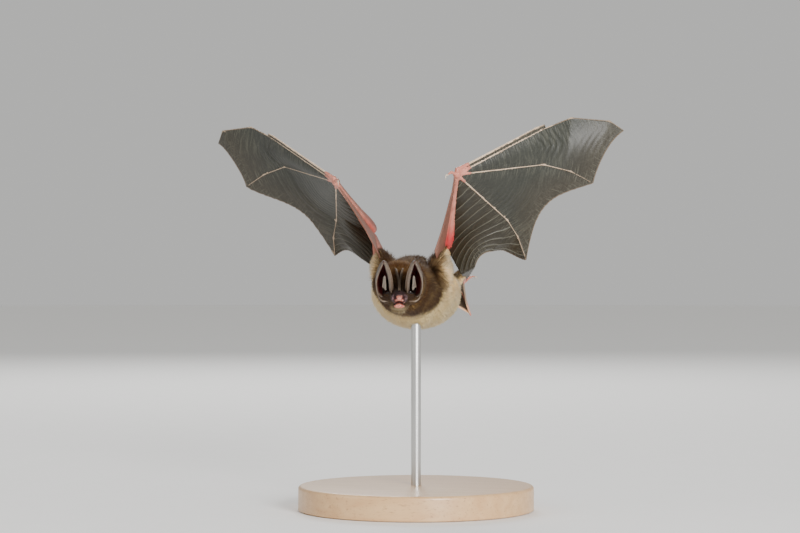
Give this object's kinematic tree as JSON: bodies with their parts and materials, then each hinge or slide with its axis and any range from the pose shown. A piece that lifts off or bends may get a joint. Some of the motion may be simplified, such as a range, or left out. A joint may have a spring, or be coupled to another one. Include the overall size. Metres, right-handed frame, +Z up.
{
  "type": "brown long-eared bat in flight",
  "caption": "Life-size brown long-eared bat in level flight, wings raised in a V and long ears held forward, carried over a round wooden base by one steel rod.",
  "frame": {"origin": "middle of the underside of the stand's base, on the table", "axes": "+Z up, -Y the way the bat flies, +X towards the bat's left wing"},
  "size_m": [0.1335, 0.1225, 0.127],
  "materials": {
    "back_fur": "soft dense dark brown fur with straw-coloured tips",
    "belly_fur": "soft dense cream fur, warmer on the flanks",
    "bare_skin": "thin pink skin over bone, faintly moist",
    "ear_skin": "thin grey-brown skin with fine cross ridges, darker inside",
    "wing_membrane": "thin dark grey-brown skin with a satin sheen, fine creases and pale vessels",
    "eye": "glossy black bead",
    "claw": "pale horn",
    "stand_wood": "turned beech, satin lacquer",
    "stand_steel": "drawn round bar, lightly brushed"
  },
  "bodies": {
    "root": {"trunk": "belly_fur", "neck": "back_fur", "head": "back_fur", "lower_jaw": "bare_skin", "eye_l": "eye", "eye_r": "eye", "ear_l": "ear_skin", "ear_r": "ear_skin", "tragus_l": "ear_skin", "tragus_r": "ear_skin", "upper_arm_l": "back_fur", "upper_arm_r": "back_fur", "forearm_l": "bare_skin", "forearm_r": "bare_skin", "wrist_l": "bare_skin", "wrist_r": "bare_skin", "thumb_l": "bare_skin", "thumb_r": "bare_skin", "digit2_l": "bare_skin", "digit2_r": "bare_skin", "digit3_l": "bare_skin", "digit3_r": "bare_skin", "digit4_l": "bare_skin", "digit4_r": "bare_skin", "digit5_l": "bare_skin", "digit5_r": "bare_skin", "leading_skin_l": "wing_membrane", "leading_skin_r": "wing_membrane", "hand_skin_outer_l": "wing_membrane", "hand_skin_outer_r": "wing_membrane", "hand_skin_inner_l": "wing_membrane", "hand_skin_inner_r": "wing_membrane", "flank_skin_l": "wing_membrane", "flank_skin_r": "wing_membrane", "thigh_l": "back_fur", "thigh_r": "back_fur", "shank_l": "bare_skin", "shank_r": "bare_skin", "foot_l": "bare_skin", "foot_r": "bare_skin", "calcar_l": "bare_skin", "calcar_r": "bare_skin", "tail": "bare_skin", "tail_skin_l": "wing_membrane", "tail_skin_r": "wing_membrane", "stand_base": "stand_wood", "stand_rod": "stand_steel"}
  },
  "joints": []
}
